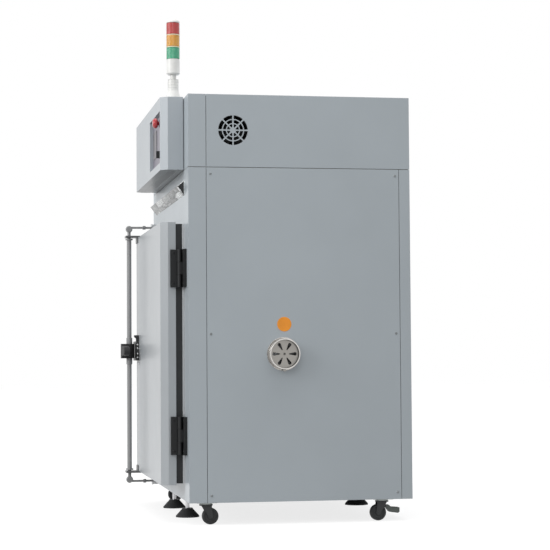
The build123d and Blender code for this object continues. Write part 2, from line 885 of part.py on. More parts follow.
def hinge_door_leaves():
    """The leaves on the side of the door, each with an upper and a lower knuckle."""
    leaves = []
    at = (hinge_x, hinge_y)
    for low, first, second, high in hinge_spans():
        plate_x = (door_half, hinge_x - leaf_axis_gap)
        leaf = block(plate_x, (hinge_y + 8 - door_leaf_width, hinge_y + 8), (low, high))
        for z in ((low, first - knuckle_gap), (second + knuckle_gap, high)):
            leaf += rod("Z", hinge_radius, z, at)
            leaf += block((plate_x[0], hinge_x), (hinge_y - hinge_radius, hinge_y + 5), z)
        leaf -= rod("Z", hinge_pin_radius + shaft_clearance, (low - 1, high + 1), at)
        leaves.append(leaf)
    return leaves


def bar_ends():
    """Both ends of the lock bar: the door's edge there and the way that points out from it."""
    return (door_top, 1), (door_bottom, -1)


def lock_bar():
    """The turning bar with its eyes, and the threaded hook rods that reach back to the cabinet."""
    at = (bar_x, bar_y)
    hooks = []
    bar = rod("Z", bar_radius, (door_bottom + bar_end_gap, door_top - bar_end_gap), at)
    for edge, out in bar_ends():
        start = edge - out * bar_end_gap
        centre = edge + out * eye_rise
        bar += rod("Z", collar_radius, (start, start - out * collar_height), at)
        bar += rod("Z", neck_radius, (start - out, centre), at)
        eye = Pos(bar_x, bar_y, centre) * Sphere(eye_radius)
        eye &= block((bar_x - eye_half, bar_x + eye_half), (bar_y - eye_radius, bar_y + eye_radius),
                     (centre - 2 * eye_radius, centre + 2 * eye_radius))
        bar += eye
        rod_at = (bar_x, centre + out * rod_offset)
        hook = rod("Y", rod_radius, (bar_y - rod_start, -rod_end_gap), rod_at)
        bar -= rod("Y", rod_radius, (bar_y - 2 * eye_radius, bar_y + 2 * eye_radius), rod_at)
        hooks.append(hook)
        for y, length, radius in ((-rod_nut_back, rod_nut_length, rod_nut_radius),
                                  (-rod_end_gap - rod_head_length, rod_head_length, rod_head_radius)):
            nut = Pos(bar_x, y, rod_at[1]) * Rot(-90, 0, 0) * extrude(RegularPolygon(radius, 6), length)
            hooks.append(nut - hook)
    for level in (lever_z - lever_height / 2, lever_z + lever_height / 2):
        bar += rod("Z", bar_radius + lever_sleeve_wall,
                   (level - lever_sleeve_half, level + lever_sleeve_half), at)
    return bar, *hooks


def bar_brackets():
    """Angle brackets at the door's top and bottom edges that the bar turns in."""
    brackets = []
    for edge, out in bar_ends():
        x = (bar_x - bracket_width / 2, bar_x + bracket_width / 2)
        front = bar_y - neck_radius - 9
        shelf = block(x, (front, -door_front + bracket_cover), (edge, edge + out * bracket_thickness))
        leg = block(x, (-door_front - bracket_thickness / 2, -door_front),
                    (edge + out * bracket_thickness, edge - out * bracket_leg))
        body = shelf + leg
        bore = rod("Z", neck_radius + shaft_clearance, (edge - 10 - bracket_leg, edge + 10),
                   (bar_x, bar_y))
        brackets.append(body - bore)
    return brackets


def bar_keepers():
    """Slotted catch plates on angles, on the cabinet beside the hook rods."""
    keepers = []
    for edge, out in bar_ends():
        rod_z = edge + out * (eye_rise + rod_offset)
        x = (bar_x - keeper_side_gap, bar_x - keeper_side_gap - keeper_width)
        z = (rod_z - keeper_height / 2, rod_z + keeper_height / 2)
        plate_y = -rod_end_gap - rod_head_length - keeper_sheet - keeper_clearance
        plate = block(x, (plate_y, plate_y + keeper_sheet), z)
        slot = block((x[0] + 1, x[0] - keeper_slot), (plate_y - 1, plate_y + keeper_sheet + 1),
                     (rod_z - rod_radius - keeper_slot_gap, rod_z + rod_radius + keeper_slot_gap))
        foot = block((x[1] + keeper_sheet, x[1]), (plate_y + keeper_sheet, 0), z)
        tab = block((x[1] + keeper_sheet, x[1] - keeper_tab), (-keeper_sheet, 0), z)
        keepers += [plate - slot, foot + tab]
    return keepers


def lock_base():
    """Plate on the door behind the lever."""
    half = lock_plate_width / 2
    body = block((bar_x - half, bar_x + half), (-door_front - lock_plate_thickness, -door_front),
                 (lever_z - lock_plate_height / 2, lever_z + lock_plate_height / 2))
    return fillet(body.edges().filter_by(Axis.Y), 6)


def lock_lever():
    """Lever clamped on the bar: a hub with a flat grip along the door."""
    z = (lever_z - lever_height / 2, lever_z + lever_height / 2)
    hub = block((bar_x - lever_hub_half, bar_x + lever_hub_half), (-lever_front, bar_y), z)
    hub = fillet(hub.edges().filter_by(Axis.Z).group_by(Axis.Y)[0], 6)
    hub += rod("Z", lever_hub_half, z, (bar_x, bar_y))
    reach = lever_hub_half + lever_arm_length
    root = lever_arm_height / 2
    tip = lever_tip_height / 2
    face = outline((0, -root), (lever_hub_half, -root), (reach - tip, -tip), (reach - tip, tip),
                   (lever_hub_half, root), (0, root)) + Pos(reach - tip, 0) * Circle(tip)
    grip = extrude(facing_front(bar_x, lever_arm_thickness - lever_front, lever_z) * face,
                   lever_arm_thickness)
    grip = fillet(grip.faces().sort_by(Axis.Y)[0].edges(), lever_grip_round)
    body = hub + grip
    return body - rod("Z", bar_radius + lever_sleeve_wall, (z[0] - 1, z[1] + 1), (bar_x, bar_y))


def recess_span():
    return (recess_left, recess_right), (seam + recess_bottom, roof - recess_top)


def control_box():
    """Sheet housing of the controls, with a recessed field for the instruments."""
    body = bevelled_housing(box_width, box_gap, box_front, (seam, box_top))
    x, recess_z = recess_span()
    y = (-box_front, -panel_face + panel_thickness)
    tray = block((x[0] - sheet, x[1] + sheet), y, (recess_z[0] - sheet, recess_z[1] + sheet))
    body += tray
    body -= block(x, (y[0] - 1, y[1] + 1), recess_z)
    for ahead, width in box_grooves:
        body -= block((-box_width, box_width), (-ahead - width, -ahead),
                      (seam - 1, seam + box_groove_depth))
    skirt = box_width / 2 - box_skirt
    spacer = block((-skirt, skirt), (-box_gap, 0), (seam, roof))
    return body, spacer - wiring_opening(-box_gap - 1, 1)


def control_panel():
    """Instrument plate in the recess with the collars of its switches and indicators."""
    x, z = recess_span()
    plate = block(x, (-panel_face, -panel_face + panel_thickness), z)
    left, size = controller_left, controller_size
    middle = (z[0] + z[1]) / 2
    inset = controller_rim
    plate -= block((left + inset, left + size - inset),
                   (-panel_face - 1, 1 - panel_face + panel_thickness),
                   (middle - size / 2 + inset, middle + size / 2 - inset))
    plate -= rod("Y", estop_stem_radius + 0.5, (-panel_face - 1, -panel_face + 9),
                 (switch_column, roof - estop_drop))
    collar = tube("Y", estop_collar_radius, estop_stem_radius + 0.5,
                  (-panel_face - estop_collar_height, -panel_face), (switch_column, roof - estop_drop))
    at = (switch_column, roof - selector_drop)
    ring = rod("Y", selector_ring_radius, (-panel_face - selector_ring_height, -panel_face), at)
    ring += rod("Y", 4, (-panel_face - selector_ring_height - 8, -panel_face), at)
    lights = []
    for drop in indicator_drops:
        place = (switch_column, roof - drop)
        light = rod("Y", indicator_radius, (-panel_face - indicator_height, -panel_face), place)
        front_edge = light.edges().filter_by(GeomType.CIRCLE).sort_by(Axis.Y)[0]
        lights.append(fillet(front_edge, indicator_height / 2))
    return plate, collar, ring, *lights


def temperature_controller():
    """Panel instrument with a thin bezel, a sunk screen field and its body behind the plate."""
    z = recess_span()[1]
    middle = (z[0] + z[1]) / 2
    x = (controller_left, controller_left + controller_size)
    half = controller_size / 2
    bezel = block(x, (-panel_face - controller_bezel, -panel_face), (middle - half, middle + half))
    bezel = fillet(bezel.edges().filter_by(Axis.Y), 4)
    bezel = chamfer(bezel.faces().sort_by(Axis.Y)[0].edges(), controller_bezel / 3)
    inset = controller_rim
    front = -panel_face - controller_bezel
    screen = block((x[0] + inset, x[1] - inset), (front - 1, front + controller_bezel / 3),
                   (middle - half + inset * 2, middle + half - inset))
    body = block((x[0] + inset, x[1] - inset), (-panel_face, -panel_face + controller_body),
                 (middle - half + inset, middle + half - inset))
    return bezel - screen + body


def estop_button():
    """Mushroom push button on its stem."""
    at = (switch_column, -panel_face, roof - estop_drop)
    base = estop_collar_height + estop_travel + running_gap
    top = base + estop_height
    profile = outline((0, -6), (estop_stem_radius, -6), (estop_stem_radius, base),
                      (estop_radius - 5, base), (estop_radius, base + 5), (estop_radius, base + 11),
                      (estop_radius - 2, top - 5), (estop_radius - 6, top - 1.5),
                      (estop_radius - 11, top), (0, top))
    body = revolve(Plane.XZ * profile, axis=Axis.Z)
    return Pos(*at) * Rot(90, 0, 0) * body


def power_selector():
    """Rotary switch knob with a raised grip bar."""
    base = panel_face + selector_ring_height + running_gap
    at = (switch_column, roof - selector_drop)
    knob = rod("Y", selector_radius, (-base - selector_height * 0.45, -base), at)
    grip = block((switch_column - 4, switch_column + 4), (-base - selector_height, -base),
                 (at[1] - selector_radius + 1, at[1] + selector_radius - 1))
    knob += fillet(grip.edges().filter_by(Axis.Y), 2)
    return knob - rod("Y", 4 + shaft_clearance, (-base - 9, -base + 1), at)


def electrical_tray():
    """Mounting plate in the upper compartment with contactors, relay and terminals."""
    x = -half_width + tray_side
    y = front_return + flange_width + tray_gap
    base = seam + sheet
    pieces = [block((x, x + tray_width), (y, y + sheet), (base, base + tray_height))]
    for index, width in enumerate(device_widths):
        left = x + device_first + index * device_pitch
        for rise in rail_rises:
            low = base + rise - device_height / 2
            pieces.append(block((left, left + width), (y - device_depth, y), (low, low + device_height)))
    return pieces


def heat_deflector():
    """Bright folded hood across the front, above the door."""
    top = seam - deflector_top
    bottom = seam - deflector_bottom
    nose_z = seam - deflector_nose_drop
    half = deflector_width / 2
    face = outline((0, top), (-deflector_nose, nose_z), (0, bottom))
    inner = offset(face, -deflector_sheet, kind=Kind.INTERSECTION)
    hood = extrude(facing_side(-half, 0, 0) * (face - inner), deflector_width)
    cap_face = offset(face, -deflector_sheet - 0.3, kind=Kind.INTERSECTION)
    caps = [extrude(facing_side(-half, 0, 0) * cap_face, deflector_cap),
            extrude(facing_side(half - deflector_cap, 0, 0) * cap_face, deflector_cap)]
    return hood, caps


def lamp_levels():
    """Heights of the signal lamp's joints, from its foot to the bottom of its first lens."""
    flare = box_top + lamp_flare_height
    collar = flare + lamp_collar_height
    stem = collar + lamp_stem_height
    return flare, collar, stem, stem + lamp_housing_height


def lamp_body():
    """Foot, ribbed collar and stem in one moulding, the housing under the lenses and the cap."""
    at = (lamp_x, -lamp_ahead, 0)
    flare, collar, stem, first_lens = lamp_levels()
    points = [(0, box_top), (lamp_flange_radius, box_top), (lamp_flange_radius, box_top + 4),
              (lamp_collar_radius + 1.5, flare - 6), (lamp_collar_radius, flare)]
    ribs = 4
    rib = lamp_collar_height / ribs
    for index in range(ribs):
        low = flare + index * rib
        points += [(lamp_collar_radius, low + rib * 0.7), (lamp_collar_radius - 1.5, low + rib * 0.75),
                   (lamp_collar_radius - 1.5, low + rib * 0.95), (lamp_collar_radius, low + rib)]
    points += [(lamp_stem_radius, collar + 1), (lamp_stem_radius, stem), (0, stem)]
    mount = turned(points, at)
    housing = turned([(0, stem), (lamp_radius - 4, stem), (lamp_radius, stem + 5),
                      (lamp_radius, first_lens), (0, first_lens)], at)
    top = first_lens + len(lens_names) * lamp_lens_height
    cap = turned([(0, top), (lamp_radius, top), (lamp_radius, top + 5),
                  (lamp_radius - 3, top + lamp_cap_height - 3),
                  (lamp_radius - 10, top + lamp_cap_height), (0, top + lamp_cap_height)], at)
    return mount, housing, cap


def lamp_lens(index):
    """One coloured lens: a clear ring section with narrow joining steps."""
    low = lamp_levels()[3] + index * lamp_lens_height
    high = low + lamp_lens_height
    step = lamp_seam * 1.5
    return turned([(0, low), (lamp_radius - lamp_seam, low), (lamp_radius - lamp_seam, low + step),
                   (lamp_radius, low + step), (lamp_radius, high - step),
                   (lamp_radius - lamp_seam, high - step), (lamp_radius - lamp_seam, high), (0, high)],
                  (lamp_x, -lamp_ahead, 0))


def castor_plates():
    """Top plates of the castors, each with its bearing race and kingpin."""
    plates = []
    top = underside
    race_low = top - castor_plate_thickness - race_height
    fork_low = race_low - fork_clearance - fork_top
    for x, y, way in castor_places():
        plate = block((x - castor_plate_width / 2, x + castor_plate_width / 2),
                      (y - castor_plate_length / 2, y + castor_plate_length / 2),
                      (top - castor_plate_thickness, top))
        plate = fillet(plate.edges().filter_by(Axis.Z), 6)
        plate += rod("Z", race_radius, (race_low, top - castor_plate_thickness), (x, y))
        head_top = fork_low - fork_clearance
        plate += rod("Z", kingpin_radius, (head_top, race_low), (x, y))
        plate += rod("Z", kingpin_head_radius, (head_top - kingpin_head, head_top), (x, y))
        plates.append(plate)
    return plates


def castor_fork(x, y, way):
    """Pressed fork: a round crown, two cheeks that taper to the axle, and the axle itself."""
    crown_high = underside - castor_plate_thickness - race_height - fork_clearance
    crown_low = crown_high - fork_top
    axle_y = y + way * castor_trail
    inner = castor_wheel_width / 2 + wheel_side_gap
    crown = rod("Z", race_radius + 2, (crown_low, crown_high), (x, y))
    crown -= rod("Z", kingpin_radius + shaft_clearance, (crown_low - 1, crown_high + 1), (x, y))
    fork = crown
    for side in (-1, 1):
        cheek_x = x + side * inner
        profile = outline((y - cheek_half - axle_y, crown_high - castor_wheel_radius),
                          (y + cheek_half - axle_y, crown_high - castor_wheel_radius),
                          (cheek_radius, 0), (-cheek_radius, 0)) + Circle(cheek_radius)
        start = cheek_x if side > 0 else cheek_x - fork_sheet
        fork += extrude(facing_side(start, axle_y, castor_wheel_radius) * profile, fork_sheet)
    fork += rod("X", axle_radius, (x - inner - fork_sheet - 2, x + inner + fork_sheet + 2),
                (axle_y, castor_wheel_radius))
    return fork


def brake_pedal(x, y, way):
    """Brake lever of a rear castor, on the side away from its wheel."""
    axle_y = y + way * castor_trail
    start = axle_y + castor_wheel_radius + 2
    tip = axle_y - way * (castor_wheel_radius + pedal_length)
    points = [(start, 60), (start, 46), (start + 10, 33), (tip - 6, 28), (tip, 33), (tip, 49),
              (tip - 8, 50), (start + 16, 52), (start + 8, 60)]
    face = outline(*[(point_y, z) for point_y, z in points])
    pedal = extrude(facing_side(x - pedal_width / 2, 0, 0) * face, pedal_width)
    arm_inner = castor_wheel_width / 2 + wheel_side_gap
    arms = [block((x + side * arm_inner, x + side * (arm_inner + fork_sheet)),
                  (y, start + 4), (50, 60)) for side in (-1, 1)]
    return pedal + arms[0] + arms[1]


def castor_wheel(x, y, way):
    """Wheel with a crowned tread and dished faces, bored for the axle."""
    half = castor_wheel_width / 2
    r = castor_wheel_radius
    bore = axle_radius + shaft_clearance
    points = [(bore, -half), (12, -half), (13, -half + 3), (r - 9, -half + 3), (r - 8, -half),
              (r - 3, -half), (r, -half + 5), (r, half - 5), (r - 3, half), (r - 8, half),
              (r - 9, half - 3), (13, half - 3), (12, half), (bore, half)]
    wheel = turned(points, (0, 0, 0))
    return Pos(x, y + way * castor_trail, r) * Rot(0, 90, 0) * wheel


def levelling_foot(x, y, lift):
    """Foot with a brim and a conical pad, on a stud that turns in the cabinet's nut."""
    points = [(0, 0), (foot_radius, 0), (foot_radius, foot_brim), (foot_neck_radius + 4, foot_height - 6),
              (foot_neck_radius, foot_height), (0, foot_height)]
    pad = turned(points, (x, y, lift))
    top = lift + foot_height
    return pad + rod("Z", foot_stud_radius, (top - 1, top + foot_stud_length), (x, y))


def shelf_runners():
    """Angle runners on the louvred walls."""
    runners = []
    y = (plug_depth + runner_plug_gap, liner_back - runner_plug_gap)
    for rise in shelf_rises:
        z = chamber_floor + rise
        for side in (-1, 1):
            wall = side * chamber_half
            ledge = block((wall, wall - side * runner_width), y, (z - runner_sheet, z))
            web = block((wall, wall - side * runner_sheet), y, (z - runner_sheet, z + runner_height))
            runners.append(ledge + web)
    return runners


def shelf(rise):
    """Wire shelf: two side rods, cross rods between them and thinner bars from front to back."""
    side_x = chamber_half - runner_sheet - shelf_side_gap - shelf_rod_radius
    front = sheet + liner_sheet + shelf_front_gap
    back = liner_back - shelf_back_gap
    z = chamber_floor + rise + shelf_rod_radius + running_gap
    ends = (front - shelf_rod_end, back + shelf_rod_end)
    body = rod("Y", shelf_rod_radius, ends, (-side_x, z)) + rod("Y", shelf_rod_radius, ends, (side_x, z))
    for y in (front, (front + back) / 2, back):
        body += rod("X", shelf_cross_radius, (-side_x, side_x), (y, z))
    pitch = 2 * side_x / (shelf_bars + 1)
    for index in range(shelf_bars):
        body += rod("Y", shelf_bar_radius, (front, back), ((index + 1) * pitch - side_x, z))
    return body


def cable_gland():
    """Cable inlet in the back of the upper compartment."""
    at = (-half_width + gland_side, roof - gland_drop)
    nut = Pos(at[0], cabinet_depth, at[1]) * Rot(-90, 0, 0) * extrude(RegularPolygon(gland_radius, 6), 8)
    dome = rod("Y", gland_radius * 0.85, (cabinet_depth + 8, cabinet_depth + gland_length), at)
    dome = fillet(dome.edges().filter_by(GeomType.CIRCLE).sort_by(Axis.Y)[-1], 4)
    thread = rod("Y", gland_radius * 0.75, (cabinet_depth - 10, cabinet_depth), at)
    return nut + dome + thread - rod("Y", gland_bore, (cabinet_depth - 12, reach_back + 1), at)


save("base_pan", base_pan())
save("front_frame", front_frame())
save("side_panel_right", side_panel(1))
save("side_panel_left", side_panel(-1))
save("rear_panel", rear_panel())
save("upper_fascia", upper_fascia())
save("top_cover", top_cover())
save("compartment_floor", compartment_floor())
save("panel_screws", *panel_screws())
save("seal_frame", seal_frame())
save("chamber_liner", *chamber_liner())
save("insulation", *insulation())
save("air_panels", louvred_panel(1), louvred_panel(-1), ceiling_panel())
save("heater_elements", *heater_elements())
save("blower_motor", blower_motor())
save("blower_wheel", blower_wheel())
save("cooling_fan_frame", cooling_fan_frame())
save("cooling_fan_rotor", cooling_fan_rotor())
save("exhaust_port", *exhaust_port())
save("damper_disc", damper_disc())
save("door_shell", door_shell())
save("door_inner_panel", door_inner_panel())
save("door_insulation", door_insulation())
save("door_gasket", door_gasket())
frame_leaves, hinge_pins = hinge_frame_leaves()
save("hinge_frame_leaves", *frame_leaves, *hinge_pins)
save("hinge_door_leaves", *hinge_door_leaves())
save("lock_bar", *lock_bar())
save("bar_brackets", *bar_brackets())
save("bar_keepers", *bar_keepers())
save("lock_base", lock_base())
save("lock_lever", lock_lever())
save("control_box", *control_box())
save("control_panel", *control_panel())
save("temperature_controller", temperature_controller())
save("estop_button", estop_button())
save("power_selector", power_selector())
save("electrical_tray", *electrical_tray())
hood, hood_caps = heat_deflector()
save("heat_deflector", hood)
save("deflector_caps", *hood_caps)
save("lamp_body", *lamp_body())
for lens_index, lens_name in enumerate(lens_names):
    save(f"lamp_lens_{lens_name}", lamp_lens(lens_index))
save("castor_plates", *castor_plates())
corner_names = ("front_right", "front_left", "rear_right", "rear_left")
for corner, place, foot_place in zip(corner_names, castor_places(), foot_places()):
    fork = castor_fork(*place)
    if corner.startswith("rear"):
        fork += brake_pedal(*place)
    save(f"castor_fork_{corner}", fork)
    save(f"castor_wheel_{corner}", castor_wheel(*place))
    foot_lift = rear_foot_lift if corner.startswith("rear") else 0
    save(f"levelling_foot_{corner}", levelling_foot(*foot_place, foot_lift))
save("shelf_runners", *shelf_runners())
for shelf_name, shelf_rise in zip(shelf_names, shelf_rises):
    save(f"shelf_{shelf_name}", shelf(shelf_rise))
save("cable_gland", cable_gland())
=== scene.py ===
"""Looks of the hot air drying oven: paints, steels, plastics, rubber, lenses and the small fittings."""
import json
import math

import bmesh
import bpy
from mathutils import Matrix, Vector


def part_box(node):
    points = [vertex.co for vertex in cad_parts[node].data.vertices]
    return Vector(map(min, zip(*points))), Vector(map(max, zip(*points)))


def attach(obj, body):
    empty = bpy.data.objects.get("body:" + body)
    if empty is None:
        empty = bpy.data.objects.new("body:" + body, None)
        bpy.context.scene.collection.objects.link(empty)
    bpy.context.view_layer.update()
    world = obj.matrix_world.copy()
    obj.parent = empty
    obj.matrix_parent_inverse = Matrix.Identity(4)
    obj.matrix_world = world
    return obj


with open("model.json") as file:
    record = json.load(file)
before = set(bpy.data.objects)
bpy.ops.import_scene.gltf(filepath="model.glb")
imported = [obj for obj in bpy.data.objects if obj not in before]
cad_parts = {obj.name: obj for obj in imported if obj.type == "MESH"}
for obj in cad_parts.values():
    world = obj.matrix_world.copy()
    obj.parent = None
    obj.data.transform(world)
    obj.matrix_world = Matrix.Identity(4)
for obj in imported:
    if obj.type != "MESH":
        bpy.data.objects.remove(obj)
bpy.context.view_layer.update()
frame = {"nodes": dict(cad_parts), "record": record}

scene = bpy.context.scene
nodes_of = frame["nodes"]

# Camera, measured from the middle of the cabinet's front face on the floor
camera_from_cabinet = (7.1168, -0.8531, 0.6387)
camera_yaw = math.radians(10.3243)
camera_pitch = math.radians(2.6979)
camera_roll = math.radians(-0.3710)
camera_lens = 113.05
camera_sensor = 36.0

# Light
world_strength = 0.70
backdrop_level = 1.0
lamps = (  # name, place, aim, size in metres, watts
    ("key", (1.8, -5.8, 3.2), (0.2, -0.3, 0.9), (4.0, 3.0), 180),
    ("fill", (6.5, -2.5, 3.6), (0.4, 0, 0.9), (3.0, 3.0), 45),
    ("top", (0.5, 0.2, 5.2), (0, 0, 1.0), (4.0, 4.0), 120),
)
floor_size = 60.0
floor_colour = (0.27, 0.27, 0.27)
floor_lift = 0.79

# Colours, linear
cabinet_grey = (0.405, 0.450, 0.482)
box_grey = (0.388, 0.424, 0.454)
door_grey = (0.380, 0.405, 0.425)
# painted shade for the sunk rims in the panel gaps
seam_painted_shade = (0.060, 0.067, 0.072)
panel_violet = (0.185, 0.172, 0.215)
steel_grey = (0.56, 0.57, 0.58)
bright_steel = (0.72, 0.72, 0.73)
sleeve_grey = (0.58, 0.585, 0.59)
seal_grey = (0.50, 0.51, 0.52)
chamber_grey = (0.60, 0.61, 0.62)
shelf_grey = (0.7, 0.71, 0.72)
sheet_grey = (0.45, 0.46, 0.47)
stud_grey = (0.55, 0.55, 0.56)
warm_steel = (0.50, 0.485, 0.465)
damper_steel = (0.33, 0.317, 0.295)
heater_brown = (0.16, 0.145, 0.13)
zinc_grey = (0.40, 0.43, 0.42)
screw_grey = (0.21, 0.225, 0.23)
castor_dark = (0.030, 0.032, 0.033)
# painted shade: the base pan is darkened so the foot of the panel seams reads dark
pan_shade_grey = (0.10, 0.105, 0.11)
bracket_grey = (0.10, 0.102, 0.105)
lever_grey = (0.040, 0.040, 0.041)
instrument_grey = (0.13, 0.125, 0.14)
tray_grey = (0.3, 0.31, 0.32)
black = (0.007, 0.008, 0.009)
soft_black = (0.016, 0.017, 0.018)
bar_grey = (0.285, 0.288, 0.292)
motor_blue = (0.05, 0.075, 0.11)
wool_brown = (0.17, 0.15, 0.11)
pedal_grey = (0.105, 0.12, 0.11)
lamp_white = (0.78, 0.78, 0.76)
ring_cream = (0.82, 0.74, 0.52)
lens_green = (0.03, 0.42, 0.22)
lens_amber = (0.80, 0.36, 0.02)
lens_red = (0.55, 0.015, 0.012)
red = (0.43, 0.006, 0.012)
sticker_orange = (0.85, 0.30, 0.02)
sticker_radius = 0.028
sticker_from_front = 0.369
sticker_height = 0.762
facet_scale = 22.0
facet_stretch = (0.22, 1.0, 1.1)
facet_bend = 0.012

front_low, front_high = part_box("front_frame")
cabinet_x = (front_low.x + front_high.x) / 2
cabinet_y = front_low.y
side_x = front_high.x
cabinet_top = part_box("top_cover")[1].z
rim_reach = 0.007
rim_sink = 0.0012
rim_front = 0.055
rim_back = 0.845


# Materials

def new_material(name):
    material = bpy.data.materials.new(name)
    material.use_nodes = True
    tree = material.node_tree
    shader = tree.nodes["Principled BSDF"]
    return material, tree, shader


def object_coords(tree, scale=(1, 1, 1)):
    coords = tree.nodes.new("ShaderNodeTexCoord")
    mapping = tree.nodes.new("ShaderNodeMapping")
    mapping.inputs["Scale"].default_value = scale
    tree.links.new(coords.outputs["Object"], mapping.inputs["Vector"])
    return mapping.outputs["Vector"]


def noise(tree, scale, detail=4.0, stretch=(1, 1, 1), rough=0.5):
    node = tree.nodes.new("ShaderNodeTexNoise")
    node.inputs["Scale"].default_value = scale
    node.inputs["Detail"].default_value = detail
    node.inputs["Roughness"].default_value = rough
    tree.links.new(object_coords(tree, stretch), node.inputs["Vector"])
    return node.outputs["Fac"]


def ramp(tree, value, low, high, start=0.0, end=1.0):
    """Maps a 0 to 1 value onto a span of numbers."""
    node = tree.nodes.new("ShaderNodeMapRange")
    node.inputs["From Min"].default_value = start
    node.inputs["From Max"].default_value = end
    node.inputs["To Min"].default_value = low
    node.inputs["To Max"].default_value = high
    tree.links.new(value, node.inputs["Value"])
    return node.outputs["Result"]


def mix_colour(tree, factor, first, second):
    node = tree.nodes.new("ShaderNodeMix")
    node.data_type = "RGBA"
    tree.links.new(factor, node.inputs["Factor"])
    for name, value in (("A", first), ("B", second)):
        socket = [s for s in node.inputs if s.name == name and s.type == "RGBA"][0]
        if isinstance(value, tuple):
            socket.default_value = (*value, 1.0)
        else:
            tree.links.new(value, socket)
    return [s for s in node.outputs if s.type == "RGBA"][0]


def shade(colour, factor):
    return tuple(min(1.0, c * factor) for c in colour)


def combine(tree, operation, first, second):
    node = tree.nodes.new("ShaderNodeMath")
    node.operation = operation
    for socket, value in zip(node.inputs, (first, second)):
        if isinstance(value, (int, float)):
            socket.default_value = value
        else:
            tree.links.new(value, socket)
    return node.outputs["Value"]


def edge_mask(tree, radius):
    """1 on worn edges, 0 on flat faces, from the difference of rounded and true normals."""
    rounded = tree.nodes.new("ShaderNodeBevel")
    rounded.samples = 4
    rounded.inputs["Radius"].default_value = radius
    geometry = tree.nodes.new("ShaderNodeNewGeometry")
    dot = tree.nodes.new("ShaderNodeVectorMath")
    dot.operation = "DOT_PRODUCT"
    tree.links.new(rounded.outputs["Normal"], dot.inputs[0])
    tree.links.new(geometry.outputs["True Normal"], dot.inputs[1])
    return ramp(tree, dot.outputs["Value"], 1.0, 0.0, 0.80, 0.98)


def relief(tree, shader, heights, edge_radius=0.0):
    """Adds bumps, each a height value with its distance in metres, over rounded edges."""
    normal = None
    if edge_radius:
        rounded = tree.nodes.new("ShaderNodeBevel")
        rounded.samples = 4
        rounded.inputs["Radius"].default_value = edge_radius
        normal = rounded.outputs["Normal"]
    for value, distance in heights:
        bump = tree.nodes.new("ShaderNodeBump")
        bump.inputs["Strength"].default_value = 1.0
        bump.inputs["Distance"].default_value = distance
        tree.links.new(value, bump.inputs["Height"])
        if normal is not None:
            tree.links.new(normal, bump.inputs["Normal"])
        normal = bump.outputs["Normal"]
    if normal is not None:
        tree.links.new(normal, shader.inputs["Normal"])


def place_of(tree):
    """The point's own x, y and z."""
    place = tree.nodes.new("ShaderNodeTexCoord")
    split = tree.nodes.new("ShaderNodeSeparateXYZ")
    tree.links.new(place.outputs["Object"], split.inputs["Vector"])
    return split.outputs


def between(tree, value, low, high):
    """1 where a value lies between two limits, else 0."""
    above = combine(tree, "GREATER_THAN", value, low)
    return combine(tree, "MULTIPLY", above, combine(tree, "LESS_THAN", value, high))


def seam_shade_mask(tree):
    """1 on the sunk rims behind the gaps round the side panels, which get painted shade."""
    at = place_of(tree)
    out = combine(tree, "ABSOLUTE", combine(tree, "SUBTRACT", at["X"], cabinet_x), 0.0)
    half = side_x - cabinet_x
    sunk = between(tree, out, half - rim_reach, half - rim_sink)
    along = between(tree, at["Y"], cabinet_y + rim_front, cabinet_y + rim_back)
    low = combine(tree, "LESS_THAN", at["Z"], cabinet_top - rim_reach)
    return combine(tree, "MULTIPLY", combine(tree, "MULTIPLY", sunk, along), low)


def underside_shade_mask(tree):
    """1 on faces that look down, which get painted shade."""
    geometry = tree.nodes.new("ShaderNodeNewGeometry")
    split = tree.nodes.new("ShaderNodeSeparateXYZ")
    tree.links.new(geometry.outputs["True Normal"], split.inputs["Vector"])
    return combine(tree, "LESS_THAN", split.outputs["Z"], -0.6)


def paint(name, colour, roughness=0.38, coat=0.0, coat_roughness=0.1, peel=0.00004, edge=0.0015,
          wear=0.15, shade_seams=False, shaded_underside=False, specular=0.5):
    """Sprayed enamel: faint colour drift, orange peel, slightly lighter rubbed edges, and where asked
    painted shade in the panel seams and on faces that look down.
    """
    material, tree, shader = new_material(name)
    drift = ramp(tree, noise(tree, 2.6, 3), 0.0, 1.0, 0.3, 0.7)
    base = mix_colour(tree, drift, shade(colour, 0.965), shade(colour, 1.03))
    worn = combine(tree, "MULTIPLY", edge_mask(tree, edge), wear)
    base = mix_colour(tree, worn, base, shade(colour, 1.6))
    if shade_seams:
        # painted shade: the sunk rims in the panel gaps are darkened
        base = mix_colour(tree, seam_shade_mask(tree), base, seam_painted_shade)
    if shaded_underside:
        # painted shade: faces that look down are darkened
        base = mix_colour(tree, underside_shade_mask(tree), base, shade(colour, 0.52))
    tree.links.new(base, shader.inputs["Base Color"])
    gloss = ramp(tree, noise(tree, 9.0, 4), roughness * 0.88, roughness * 1.14)
    tree.links.new(gloss, shader.inputs["Roughness"])
    shader.inputs["Specular IOR Level"].default_value = specular
    shader.inputs["Coat Weight"].default_value = coat
    shader.inputs["Coat Roughness"].default_value = coat_roughness
    relief(tree, shader, [(noise(tree, 420, 2), peel)], edge)
    return material


def steel(name, colour, roughness=0.3, grain=(1, 1, 40), edge=0.0008, scratch=0.00002, metallic=1.0):
    """Brushed sheet: fine lines along one axis in colour, gloss and relief."""
    material, tree, shader = new_material(name)
    lines = noise(tree, 28, 6, grain, 0.65)
    cloud = noise(tree, 5, 3)
    base = mix_colour(tree, lines, shade(colour, 0.88), shade(colour, 1.1))
    base = mix_colour(tree, ramp(tree, cloud, 0.0, 0.35, 0.35, 0.7), base, shade(colour, 0.9))
    tree.links.new(base, shader.inputs["Base Color"])
    tree.links.new(ramp(tree, lines, roughness * 0.75, roughness * 1.3), shader.inputs["Roughness"])
    shader.inputs["Metallic"].default_value = metallic
    relief(tree, shader, [(lines, scratch)], edge)
    return material


